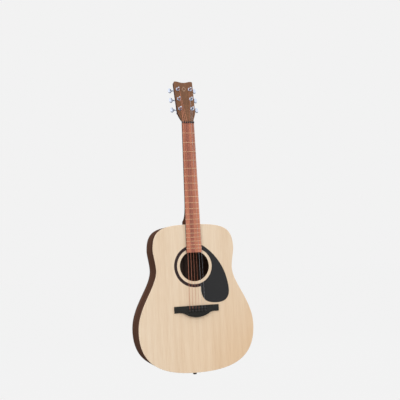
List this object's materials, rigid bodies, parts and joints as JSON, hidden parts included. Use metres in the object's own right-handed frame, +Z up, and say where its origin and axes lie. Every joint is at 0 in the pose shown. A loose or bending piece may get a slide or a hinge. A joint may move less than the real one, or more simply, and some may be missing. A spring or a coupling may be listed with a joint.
{
  "type": "acoustic guitar",
  "caption": "Flat-top steel-string acoustic guitar with a pale spruce top, dark sides, black pickguard and bridge, and worm-geared tuners.",
  "frame": {"origin": "middle of the neck at the nut, in the plane of the soundboard's front face, where a wall hanger's yoke takes the headstock's flare", "axes": "+Z up the neck, -Y out of the soundboard's front, +X to the treble side"},
  "size_m": [0.405, 0.1292, 1.0233],
  "materials": {
    "spruce_top": "open satin",
    "dark_wood": "gloss",
    "neck_wood": "satin",
    "board_wood": "oiled satin",
    "brace_wood": "raw",
    "black_plastic": "gloss",
    "matte_black": "satin",
    "inlay": "pearl",
    "chrome": "polished",
    "steel": "plain",
    "bronze": "wound wire"
  },
  "bodies": {
    "guitar": {"soundboard": "spruce_top", "rosette": "black_plastic", "back_plate": "dark_wood", "side_bass": "dark_wood", "side_treble": "dark_wood", "back_binding": "black_plastic", "neck_block": "neck_wood", "tail_block": "neck_wood", "top_linings": "brace_wood", "back_linings": "brace_wood", "x_braces": "brace_wood", "tone_bars": "brace_wood", "finger_braces": "brace_wood", "upper_braces": "brace_wood", "bridge_plate": "neck_wood", "back_braces": "brace_wood", "back_strip": "dark_wood", "neck": "neck_wood", "heel_cap": "black_plastic", "truss_rod": "steel", "fingerboard": "board_wood", "frets": "steel", "nut": "matte_black", "headstock": "neck_wood", "head_veneer": "dark_wood", "head_inlay": "inlay", "tuner_housings": "chrome", "tuner_bushings": "chrome", "tuner_screws": "chrome", "wound_strings": "bronze", "plain_strings": "steel", "bridge": "matte_black", "saddle": "matte_black", "bridge_pins": "matte_black", "pickguard": "black_plastic", "end_pin": "matte_black"},
    "truss_nut": {"truss_nut": "steel"},
    "key_1": {"tuner_key_1": "chrome"},
    "post_1": {"tuner_post_1": "chrome", "string_coil_1": "steel"},
    "key_2": {"tuner_key_2": "chrome"},
    "post_2": {"tuner_post_2": "chrome", "string_coil_2": "steel"},
    "key_3": {"tuner_key_3": "chrome"},
    "post_3": {"tuner_post_3": "chrome", "string_coil_3": "bronze"},
    "key_4": {"tuner_key_4": "chrome"},
    "post_4": {"tuner_post_4": "chrome", "string_coil_4": "bronze"},
    "key_5": {"tuner_key_5": "chrome"},
    "post_5": {"tuner_post_5": "chrome", "string_coil_5": "bronze"},
    "key_6": {"tuner_key_6": "chrome"},
    "post_6": {"tuner_post_6": "chrome", "string_coil_6": "bronze"}
  },
  "joints": [
    {"name": "truss_nut_turn", "type": "hinge", "parent": "guitar", "child": "truss_nut", "pos_m": [0, 0.0065, -0.38878], "axis": [0, 0, 1], "range_deg": [-360, 360]},
    {"name": "key_1_turn", "type": "hinge", "parent": "guitar", "child": "key_1", "pos_m": [0.022, 0.03435, 0.05389], "axis": [1, 0, 0], "continuous": true},
    {"name": "post_1_turn", "type": "hinge", "parent": "guitar", "child": "post_1", "pos_m": [0.022, 0.0121, 0.05352], "axis": [0, -0.9703, 0.2419], "continuous": true},
    {"name": "key_2_turn", "type": "hinge", "parent": "guitar", "child": "key_2", "pos_m": [0.022, 0.04354, 0.09076], "axis": [1, 0, 0], "continuous": true},
    {"name": "post_2_turn", "type": "hinge", "parent": "guitar", "child": "post_2", "pos_m": [0.022, 0.02129, 0.09039], "axis": [0, -0.9703, 0.2419], "continuous": true},
    {"name": "key_3_turn", "type": "hinge", "parent": "guitar", "child": "key_3", "pos_m": [0.022, 0.05273, 0.12763], "axis": [1, 0, 0], "continuous": true},
    {"name": "post_3_turn", "type": "hinge", "parent": "guitar", "child": "post_3", "pos_m": [0.022, 0.03048, 0.12726], "axis": [0, -0.9703, 0.2419], "continuous": true},
    {"name": "key_4_turn", "type": "hinge", "parent": "guitar", "child": "key_4", "pos_m": [-0.022, 0.05273, 0.12763], "axis": [1, 0, 0], "continuous": true},
    {"name": "post_4_turn", "type": "hinge", "parent": "guitar", "child": "post_4", "pos_m": [-0.022, 0.03048, 0.12726], "axis": [0, -0.9703, 0.2419], "continuous": true},
    {"name": "key_5_turn", "type": "hinge", "parent": "guitar", "child": "key_5", "pos_m": [-0.022, 0.04354, 0.09076], "axis": [1, 0, 0], "continuous": true},
    {"name": "post_5_turn", "type": "hinge", "parent": "guitar", "child": "post_5", "pos_m": [-0.022, 0.02129, 0.09039], "axis": [0, -0.9703, 0.2419], "continuous": true},
    {"name": "key_6_turn", "type": "hinge", "parent": "guitar", "child": "key_6", "pos_m": [-0.022, 0.03435, 0.05389], "axis": [1, 0, 0], "continuous": true},
    {"name": "post_6_turn", "type": "hinge", "parent": "guitar", "child": "post_6", "pos_m": [-0.022, 0.0121, 0.05352], "axis": [0, -0.9703, 0.2419], "continuous": true}
  ],
  "couplings": [
    {"joint": "post_1_turn", "follows": "key_1_turn", "ratio": 0.071429},
    {"joint": "post_2_turn", "follows": "key_2_turn", "ratio": 0.071429},
    {"joint": "post_3_turn", "follows": "key_3_turn", "ratio": 0.071429},
    {"joint": "post_4_turn", "follows": "key_4_turn", "ratio": 0.071429},
    {"joint": "post_5_turn", "follows": "key_5_turn", "ratio": 0.071429},
    {"joint": "post_6_turn", "follows": "key_6_turn", "ratio": 0.071429}
  ]
}
